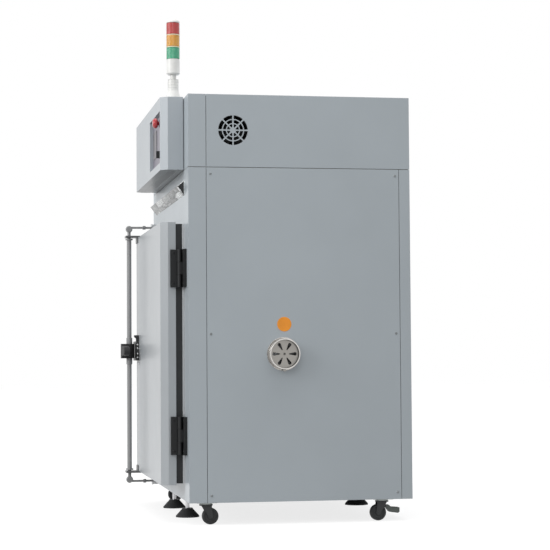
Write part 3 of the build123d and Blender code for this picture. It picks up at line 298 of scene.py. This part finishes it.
def plastic(name, colour, roughness=0.45, grain=0.00005, grain_scale=900, edge=0.001, coat=0.0,
            specular=0.5):
    """Moulded plastic with a fine spark grain."""
    material, tree, shader = new_material(name)
    drift = ramp(tree, noise(tree, 14, 3), 0.0, 1.0, 0.3, 0.7)
    base = mix_colour(tree, drift, shade(colour, 0.9), shade(colour, 1.12))
    tree.links.new(base, shader.inputs["Base Color"])
    gloss = ramp(tree, noise(tree, 60, 4), roughness * 0.85, roughness * 1.2)
    tree.links.new(gloss, shader.inputs["Roughness"])
    shader.inputs["Specular IOR Level"].default_value = specular
    shader.inputs["Coat Weight"].default_value = coat
    relief(tree, shader, [(noise(tree, grain_scale, 2), grain)], edge)
    return material


def rubber(name, colour=soft_black, roughness=0.7):
    """Matte rubber with a chalky bloom in the hollows of its skin."""
    material, tree, shader = new_material(name)
    bloom = ramp(tree, noise(tree, 22, 5), 0.0, 1.0, 0.45, 0.8)
    base = mix_colour(tree, bloom, colour, shade(colour, 2.0))
    tree.links.new(base, shader.inputs["Base Color"])
    tree.links.new(ramp(tree, noise(tree, 50, 4), roughness * 0.85, roughness), shader.inputs["Roughness"])
    relief(tree, shader, [(noise(tree, 300, 3), 0.00012)], 0.0012)
    return material


def wool(name, colour):
    """Matted mineral fibre."""
    material, tree, shader = new_material(name)
    fibres = noise(tree, 90, 8, (1, 6, 1), 0.7)
    base = mix_colour(tree, fibres, shade(colour, 0.6), shade(colour, 1.35))
    tree.links.new(base, shader.inputs["Base Color"])
    shader.inputs["Roughness"].default_value = 0.95
    shader.inputs["Sheen Weight"].default_value = 0.3
    relief(tree, shader, [(fibres, 0.003)])
    return material


def facets_of(tree, feature, output):
    """Uneven cells of a crumpled sheet, their borders bent by noise."""
    cells = tree.nodes.new("ShaderNodeTexVoronoi")
    cells.feature = feature
    cells.inputs["Scale"].default_value = facet_scale
    warp = tree.nodes.new("ShaderNodeTexNoise")
    warp.inputs["Scale"].default_value = 14.0
    soften = tree.nodes.new("ShaderNodeVectorMath")
    soften.operation = "SCALE"
    soften.inputs["Scale"].default_value = facet_bend
    tree.links.new(warp.outputs["Color"], soften.inputs[0])
    bent = tree.nodes.new("ShaderNodeVectorMath")
    bent.operation = "ADD"
    tree.links.new(object_coords(tree, facet_stretch), bent.inputs[0])
    tree.links.new(soften.outputs["Vector"], bent.inputs[1])
    tree.links.new(bent.outputs["Vector"], cells.inputs["Vector"])
    return cells.outputs[output]


def crinkled_mirror(name):
    """Bright thin sheet, crumpled into facets, with painted light and dark reflections on the facets and
    painted shade in the creases between them.
    """
    material, tree, shader = new_material(name)
    tone = facets_of(tree, "F1", "Color")
    border = facets_of(tree, "DISTANCE_TO_EDGE", "Distance")
    shaded = ramp(tree, tone, 0.0, 1.0, 0.25, 0.75)
    # painted reflection: each facet is lightened or darkened in tone
    facet_reflections = mix_colour(tree, shaded, (0.17, 0.18, 0.18), (0.70, 0.72, 0.72))
    # painted shade: the creases are darkened
    crease_shade = combine(tree, "MULTIPLY", ramp(tree, border, 1.0, 0.0, 0.0, 0.10), 0.8)
    facet_reflections = mix_colour(tree, crease_shade, facet_reflections, (0.05, 0.055, 0.055))
    tree.links.new(facet_reflections, shader.inputs["Base Color"])
    shader.inputs["Metallic"].default_value = 1.0
    tree.links.new(ramp(tree, noise(tree, 40, 4), 0.16, 0.30), shader.inputs["Roughness"])
    relief(tree, shader, [(border, 0.012), (noise(tree, 12, 2, facet_stretch), 0.0016)], 0.0008)
    return material


def collar_steel(name, colour, axis_at, bore, lip):
    """Warm rolled steel, with a painted highlight on its lip and painted shade within its bore."""
    material, tree, shader = new_material(name)
    at = place_of(tree)
    across = combine(tree, "POWER", combine(tree, "SUBTRACT", at["Y"], axis_at[0]), 2.0)
    rise = combine(tree, "POWER", combine(tree, "SUBTRACT", at["Z"], axis_at[1]), 2.0)
    reach = combine(tree, "SQRT", combine(tree, "ADD", across, rise), 0.0)
    bore_shade = combine(tree, "LESS_THAN", reach, bore)
    cloud = noise(tree, 30, 4)
    base = mix_colour(tree, cloud, shade(colour, 0.85), shade(colour, 1.12))
    # painted highlight: the front lip is lightened
    base = mix_colour(tree, combine(tree, "GREATER_THAN", at["X"], lip), base, shade(colour, 1.3))
    # painted shade: everything within the bore is darkened
    base = mix_colour(tree, bore_shade, base, shade(colour, 0.18))
    tree.links.new(base, shader.inputs["Base Color"])
    shader.inputs["Metallic"].default_value = 0.9
    tree.links.new(ramp(tree, cloud, 0.14, 0.26), shader.inputs["Roughness"])
    relief(tree, shader, [(cloud, 0.0003)], 0.0012)
    return material


def lens(name, colour, axis_at):
    """Ribbed coloured lens: upright flutes round its axis and a soft inner glow."""
    material, tree, shader = new_material(name)
    at = place_of(tree)
    across = combine(tree, "SUBTRACT", at["X"], axis_at[0])
    along = combine(tree, "SUBTRACT", at["Y"], axis_at[1])
    angle = combine(tree, "ARCTAN2", along, across)
    flutes = combine(tree, "SINE", combine(tree, "MULTIPLY", angle, 40.0), 0.0)
    rings = combine(tree, "SINE", combine(tree, "MULTIPLY", at["Z"], 1100.0), 0.0)
    # painted shade and highlight: darker in the flute hollows, lighter on the ridges
    flute_shade = ramp(tree, flutes, 0.0, 1.0, -1.0, 1.0)
    base = mix_colour(tree, flute_shade, shade(colour, 0.72), shade(colour, 1.15))
    tree.links.new(base, shader.inputs["Base Color"])
    shader.inputs["Roughness"].default_value = 0.12
    shader.inputs["Coat Weight"].default_value = 0.5
    shader.inputs["Subsurface Weight"].default_value = 0.15
    shader.inputs["Subsurface Scale"].default_value = 0.01
    relief(tree, shader, [(flutes, 0.0006), (rings, 0.0002)], 0.0006)
    return material


def by_height(name, level, lower, upper, axis="Z", lower_rough=0.7, upper_rough=0.3, upper_metal=1.0):
    """Two finishes in one piece that meet at a height or depth: rubber or paint, then metal."""
    material, tree, shader = new_material(name)
    mask = combine(tree, "GREATER_THAN", place_of(tree)[axis], level)
    grain = noise(tree, 60, 4)
    low = mix_colour(tree, grain, shade(lower, 0.85), shade(lower, 1.25))
    high = mix_colour(tree, grain, shade(upper, 0.85), shade(upper, 1.1))
    tree.links.new(mix_colour(tree, mask, low, high), shader.inputs["Base Color"])
    tree.links.new(ramp(tree, mask, 0.0, upper_metal), shader.inputs["Metallic"])
    tree.links.new(ramp(tree, mask, lower_rough, upper_rough), shader.inputs["Roughness"])
    relief(tree, shader, [(noise(tree, 300, 3), 0.00008)], 0.001)
    return material


# Looks of each node

lamp_low, lamp_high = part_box("lamp_body")
lamp_axis = ((lamp_low.x + lamp_high.x) / 2, (lamp_low.y + lamp_high.y) / 2)
port_low, port_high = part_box("exhaust_port")
port_axis = ((port_low.y + port_high.y) / 2, (port_low.z + port_high.z) / 2)
port_bore = 0.0545
port_lip = 0.004
cabinet_paint = paint("cabinet_paint", cabinet_grey, 0.30, shade_seams=True)
box_paint = paint("box_paint", box_grey, 0.30, shaded_underside=True)
door_paint = paint("door_paint", door_grey, 0.32, coat=0.12, coat_roughness=0.08, peel=0.000004)
fitting_black = paint("fitting_black", black, 0.42, wear=0.4, specular=0.3)
satin_bar = paint("satin_bar", bar_grey, 0.3, coat=0.2, wear=0.3)
moulded_black = plastic("moulded_black", black, 0.42)
steel_plain = steel("steel_plain", steel_grey, 0.28)
steel_bright = steel("steel_bright", bright_steel, 0.18, (1, 1, 6))
looks = {
    "cabinet_paint": cabinet_paint,
    "base_steel": steel("base_steel", sheet_grey, 0.42, (6, 1, 1)),
    "screw_steel": steel("screw_zinc", screw_grey, 0.38, (1, 1, 6)),
    "seal_frame": steel("seal_frame_steel", seal_grey, 0.3, (1, 1, 30)),
    "chamber_steel": steel("chamber_steel", chamber_grey, 0.26, (1, 1, 30)),
    "mineral_wool": wool("mineral_wool", wool_brown),
    "heater_elements": steel("heater_steel", heater_brown, 0.5, (3, 3, 3)),
    "blower_motor": paint("motor_paint", motor_blue, 0.35),
    "blower_wheel": steel_plain,
    "cooling_fan_frame": plastic("fan_black", black, 0.5),
    "cooling_fan_rotor": plastic("rotor_black", black, 0.5, specular=0.2),
    "exhaust_port": collar_steel("collar_steel", warm_steel, port_axis, port_bore,
                                 port_high.x - port_lip),
    "damper_disc": steel("damper_steel", damper_steel, 0.30, (5, 5, 5), metallic=0.9),
    "door_paint": door_paint,
    "door_inner_panel": steel("door_inner_steel", chamber_grey, 0.25, (1, 1, 30)),
    "door_gasket": rubber("gasket_silicone", black, 0.6),
    "hinge_black": fitting_black,
    "lock_bar": satin_bar,
    "bar_brackets": paint("bracket_grey", bracket_grey, 0.35, wear=0.4),
    "bar_keepers": steel_plain,
    "lock_black": moulded_black,
    "control_box": box_paint,
    "control_panel": paint("panel_paint", panel_violet, 0.4),
    "temperature_controller": plastic("instrument_grey", instrument_grey, 0.35),
    "estop_button": plastic("signal_red", red, 0.22, 0.00002, coat=0.4),
    "power_selector": moulded_black,
    "electrical_tray": plastic("tray_grey", tray_grey, 0.5),
    "heat_deflector": crinkled_mirror("bright_sheet"),
    "deflector_caps": moulded_black,
    "lamp_body": plastic("lamp_white", lamp_white, 0.3, 0.00002),
    "lens_green": lens("lens_green", lens_green, lamp_axis),
    "lens_amber": lens("lens_amber", lens_amber, lamp_axis),
    "lens_red": lens("lens_red", lens_red, lamp_axis),
    "castor_steel": steel("castor_dark", castor_dark, 0.45, (4, 4, 4), metallic=0.3),
    "castor_wheel": rubber("tread_rubber"),
    "levelling_foot": rubber("foot_rubber"),
    "shelf_wire": steel("shelf_chrome", shelf_grey, 0.15, (1, 1, 4)),
    "cable_gland": moulded_black,
}


def dress(node, material):
    mesh = nodes_of[node].data
    mesh.materials.clear()
    mesh.materials.append(material)


for part in frame["record"]["subparts"]:
    dress(part["node"], looks[part["material_slot"]])

corners = ("front_right", "front_left", "rear_right", "rear_left")
pad_height = 0.0355
pedal_overlap = 0.002
for corner in corners:
    pad_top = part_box("levelling_foot_" + corner)[0].z + pad_height
    dress("levelling_foot_" + corner, by_height("foot_" + corner, pad_top, soft_black, stud_grey))
for corner in ("rear_right", "rear_left"):
    pedal_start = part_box("castor_wheel_" + corner)[1].y - pedal_overlap
    dress("castor_fork_" + corner,
          by_height("fork_" + corner, pedal_start, soft_black, pedal_grey, "Y", 0.4, 0.5, 0.0))
dress("castor_plates", steel("plate_zinc", zinc_grey, 0.4, (4, 4, 4), metallic=0.6))
# painted shade: the base pan is darkened so the foot of the panel seams reads dark
dress("base_pan", paint("pan_shade_paint", pan_shade_grey, 0.5))
dress("lock_lever", plastic("lever_plastic", lever_grey, 0.6, specular=0.15))


# Meshes

def toward(normal, at):
    """Places a shape that is built along +Z at a point, facing along normal."""
    turn = Vector(normal).to_track_quat("Z", "Y").to_matrix().to_4x4()
    return Matrix.Translation(Vector(at)) @ turn


def circle(bm, matrix, radius, height, steps):
    if radius == 0:
        return [bm.verts.new(matrix @ Vector((0, 0, height)))]
    turns = [Matrix.Rotation(2 * math.pi * k / steps, 4, "Z") for k in range(steps)]
    return [bm.verts.new(matrix @ turn @ Vector((radius, 0, height))) for turn in turns]


def lathe(bm, profile, matrix, steps=40, closed=False):
    """Revolves radius and height pairs about +Z, back to the first pair where closed."""
    rings = [circle(bm, matrix, radius, height, steps) for radius, height in profile]
    join_rings(bm, rings + rings[:1] if closed else rings)


def join_rings(bm, rings):
    for lower, upper in zip(rings, rings[1:]):
        count = max(len(lower), len(upper))
        for k in range(count):
            corner = [lower[k % len(lower)], lower[(k + 1) % len(lower)],
                      upper[(k + 1) % len(upper)], upper[k % len(upper)]]
            unique = list(dict.fromkeys(corner))
            if len(unique) > 2:
                bm.faces.new(unique)


def screw_head(bm, matrix, radius, height, drive="cross"):
    """Pan head with a cross or hexagon recess."""
    steps = 24
    dome = ((radius, 0), (radius, height * 0.5), (radius * 0.8, height * 0.93), (radius * 0.6, height))
    rings = [circle(bm, matrix, ring_radius, z, steps) for ring_radius, z in dome]
    for z in (height, height * 0.35):
        ring = []
        for k in range(steps):
            angle = 2 * math.pi * k / steps
            if drive == "cross":
                reach = radius * (0.14 + 0.38 * abs(math.cos(2 * angle)) ** 4)
            else:
                reach = radius * 0.45 / math.cos((angle + math.pi / 6) % (math.pi / 3) - math.pi / 6)
            at = Vector((reach * math.cos(angle), reach * math.sin(angle), z))
            ring.append(bm.verts.new(matrix @ at))
        rings.append(ring)
    rings.append([bm.verts.new(matrix @ Vector((0, 0, height * 0.3)))])
    join_rings(bm, rings)


def piece(name, body, material, maker, edge=0.0, segments=2, sharp=35):
    """Makes an object from what maker draws, with softened edges, riding on a body."""
    bm = bmesh.new()
    maker(bm)
    bmesh.ops.recalc_face_normals(bm, faces=bm.faces)
    mesh = bpy.data.meshes.new(name)
    bm.to_mesh(mesh)
    bm.free()
    mesh.materials.append(material)
    mesh.shade_smooth()
    mesh.set_sharp_from_angle(angle=math.radians(sharp))
    made = bpy.data.objects.new(name, mesh)
    scene.collection.objects.link(made)
    if edge:
        bevel = made.modifiers.new("edges", "BEVEL")
        bevel.width = edge
        bevel.segments = segments
        bevel.limit_method = "ANGLE"
        bevel.angle_limit = math.radians(sharp)
    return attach(made, body)


def screws(name, body, material, places, normal, radius, height, drive="cross"):
    def draw(bm):
        for index, at in enumerate(places):
            spin = Matrix.Rotation(math.radians(17 + 41 * index), 4, "Z")
            screw_head(bm, toward(normal, at) @ spin, radius, height, drive)
    return piece(name, body, material, draw)


# Middle screws of the side panels
middle_screw_places = (0.085, 0.811)
middle_screw_height = 0.725
panel_screw_radius = 0.005
panel_screw_height = 0.002
for name, x, way in (("right", side_x, 1), ("left", front_low.x, -1)):
    screws("middle_screws_" + name, "cabinet", looks["screw_steel"],
           [(x, cabinet_y + y, middle_screw_height) for y in middle_screw_places],
           (way, 0, 0), panel_screw_radius, panel_screw_height)

# Flat disc on the side panel
orange = plastic("sticker_orange", sticker_orange, 0.4)


def draw_sticker(bm):
    at = (side_x, cabinet_y + sticker_from_front, sticker_height)
    lathe(bm, [(0, 0), (sticker_radius, 0), (sticker_radius, 0.0003), (sticker_radius - 0.0004, 0.0006),
               (0, 0.0006)], toward((1, 0, 0), at), 64)


piece("sticker_disc", "cabinet", orange, draw_sticker)

# Light rings between the lenses of the signal lamp
ring_half = 0.0022
ring_reach = 0.0002
lens_joints = [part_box("lamp_lens_" + colour)[1].z for colour in ("green", "amber")]
lamp_radius = (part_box("lamp_lens_red")[1].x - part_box("lamp_lens_red")[0].x) / 2


def draw_lens_rings(bm):
    outer = lamp_radius + ring_reach
    for z in lens_joints:
        lathe(bm, [(outer - 0.0018, -ring_half), (outer, -ring_half + 0.0005), (outer, ring_half - 0.0005),
                   (outer - 0.0018, ring_half)], Matrix.Translation((*lamp_axis, z)), 64, True)


piece("lens_rings", "cabinet", plastic("ring_cream", ring_cream, 0.3), draw_lens_rings)

# Hinge screws
hinge_low, hinge_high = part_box("hinge_door_leaves")
frame_low, frame_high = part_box("hinge_frame_leaves")
hinge_height = 0.146
hinge_bottoms = (hinge_low.z, hinge_high.z - hinge_height)
leaf_screw_inset = 0.014
leaf_screw_radius = 0.0055
leaf_screw_height = 0.002
frame_screw_at = (frame_high.x - 0.014, frame_high.y - 0.012)
door_screw_at = (hinge_high.x - 0.022, hinge_low.y + 0.011)
for index, bottom in enumerate(hinge_bottoms):
    levels = (bottom + leaf_screw_inset, bottom + hinge_height - leaf_screw_inset)
    for name, body, at, normal in (("frame", "cabinet", frame_screw_at, (0, -1, 0)),
                                   ("door", "door", door_screw_at, (1, 0, 0))):
        screws(f"{name}_leaf_screws_{index}", body, fitting_black, [(*at, z) for z in levels],
               normal, leaf_screw_radius, leaf_screw_height, "hexagon")

# Lock plate screws and the sleeves on the bar
plate_low, plate_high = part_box("lock_base")
bar_low, bar_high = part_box("lock_bar")
lever_low, lever_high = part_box("lock_lever")
collar_radius = 0.016
bar_axis = ((bar_low.x + bar_high.x) / 2, bar_low.y + collar_radius)
plate_middle = (plate_low.y + plate_high.y) / 2
lever_level = (lever_low.z + lever_high.z) / 2
plate_screw_rises = (-0.0275, -0.0115, 0.0115, 0.0275)
plate_screw_radius = 0.0032
plate_screw_height = 0.0012
plate_screws = [(plate_high.x, plate_middle, lever_level + rise) for rise in plate_screw_rises]
screws("lock_plate_screws", "door", steel_bright, plate_screws, (1, 0, 0), plate_screw_radius,
       plate_screw_height)
sleeve_length = 0.026
bar_radius = 0.010
sleeve_radius = 0.0118


def draw_sleeves(bm):
    for z, way in ((lever_high.z, 1), (lever_low.z, -1)):
        at = (bar_axis[0], bar_axis[1], z)
        lathe(bm, [(bar_radius + 0.0001, 0.0005), (sleeve_radius - 0.0006, 0.0005), (sleeve_radius, 0.0012),
                   (sleeve_radius, sleeve_length - 0.0012), (sleeve_radius - 0.0006, sleeve_length),
                   (bar_radius + 0.0001, sleeve_length)], toward((0, 0, way), at), 40, True)


sleeve_steel = steel("sleeve_steel", sleeve_grey, 0.2, (1, 1, 6))
piece("bar_sleeves", "lock_bar", sleeve_steel, draw_sleeves)

# Hooked latch above the lock plate and the bolt below it
latch_width = 0.018
latch_foot = 0.0415
latch_outline = ((0, 0), (0.012, 0), (0.012, 0.013), (0.020, 0.019), (0.020, 0.027), (0, 0.027))
latch_inset = 0.004
bolt_drop = 0.052
bolt_radius = 0.005
bolt_height = 0.006


def draw_latch(bm):
    start = plate_high.x - latch_inset - latch_width
    ends = []
    for x in (start, start + latch_width):
        ends.append([bm.verts.new((x, plate_high.y - out, lever_level + latch_foot + rise))
                     for out, rise in latch_outline])
    for end in ends:
        bm.faces.new(end)
    join_rings(bm, ends)


piece("door_latch", "door", moulded_black, draw_latch, 0.0012)
screws("latch_bolt", "door", steel_plain,
       [(plate_high.x - latch_inset - latch_width / 2, plate_high.y, lever_level - bolt_drop)],
       (0, -1, 0), bolt_radius, bolt_height, "hexagon")

# Floor, backdrop, lights and camera

def draw_floor():
    bm = bmesh.new()
    half = floor_size / 2
    bm.faces.new([bm.verts.new((x * half, y * half, 0)) for x, y in ((-1, -1), (1, -1), (1, 1), (-1, 1))])
    mesh = bpy.data.meshes.new("floor")
    bm.to_mesh(mesh)
    bm.free()
    floor = bpy.data.objects.new("floor", mesh)
    scene.collection.objects.link(floor)
    return floor


def floor_material():
    material, tree, shader = new_material("pale_floor")
    tree.links.new(mix_colour(tree, noise(tree, 3, 3), shade(floor_colour, 0.99), floor_colour),
                   shader.inputs["Base Color"])
    shader.inputs["Roughness"].default_value = 0.9
    shader.inputs["Specular IOR Level"].default_value = 0.1
    path = tree.nodes.new("ShaderNodeLightPath")
    seen = combine(tree, "MAXIMUM", path.outputs["Is Camera Ray"], path.outputs["Is Glossy Ray"])
    shader.inputs["Emission Color"].default_value = (1, 1, 1, 1)
    tree.links.new(combine(tree, "MULTIPLY", seen, floor_lift), shader.inputs["Emission Strength"])
    return material


floor = draw_floor()
floor.data.materials.append(floor_material())


def light_world():
    world = bpy.data.worlds.new("studio")
    scene.world = world
    world.use_nodes = True
    tree = world.node_tree
    background = tree.nodes["Background"]
    background.inputs["Color"].default_value = (1, 1, 1, 1)
    path = tree.nodes.new("ShaderNodeLightPath")
    seen = combine(tree, "MAXIMUM", path.outputs["Is Camera Ray"], path.outputs["Is Glossy Ray"])
    seen = combine(tree, "MAXIMUM", seen, path.outputs["Is Transmission Ray"])
    level = ramp(tree, seen, world_strength, backdrop_level)
    tree.links.new(level, background.inputs["Strength"])


def area_light(name, at, aim, size, power):
    data = bpy.data.lights.new(name, "AREA")
    data.shape = "RECTANGLE"
    data.size, data.size_y = size
    data.energy = power
    lamp = bpy.data.objects.new(name, data)
    lamp.location = at
    lamp.rotation_euler = (Vector(aim) - Vector(at)).to_track_quat("-Z", "Y").to_euler()
    scene.collection.objects.link(lamp)


def add_camera():
    at = Vector(camera_from_cabinet) + Vector((cabinet_x, cabinet_y, 0))
    level_share = math.cos(camera_pitch)
    ahead = Vector((-math.cos(camera_yaw) * level_share, math.sin(camera_yaw) * level_share,
                    math.sin(camera_pitch)))
    level = ahead.cross(Vector((0, 0, 1))).normalized()
    upright = level.cross(ahead)
    right = math.cos(camera_roll) * level + math.sin(camera_roll) * upright
    up = math.cos(camera_roll) * upright - math.sin(camera_roll) * level
    data = bpy.data.cameras.new("camera")
    data.lens = camera_lens
    data.sensor_width = camera_sensor
    camera = bpy.data.objects.new("camera", data)
    camera.matrix_world = Matrix.Translation(at) @ Matrix((right, up, -ahead)).transposed().to_4x4()
    scene.collection.objects.link(camera)
    scene.camera = camera


light_world()
for lamp in lamps:
    area_light(*lamp)
add_camera()
scene.view_settings.view_transform = "Standard"
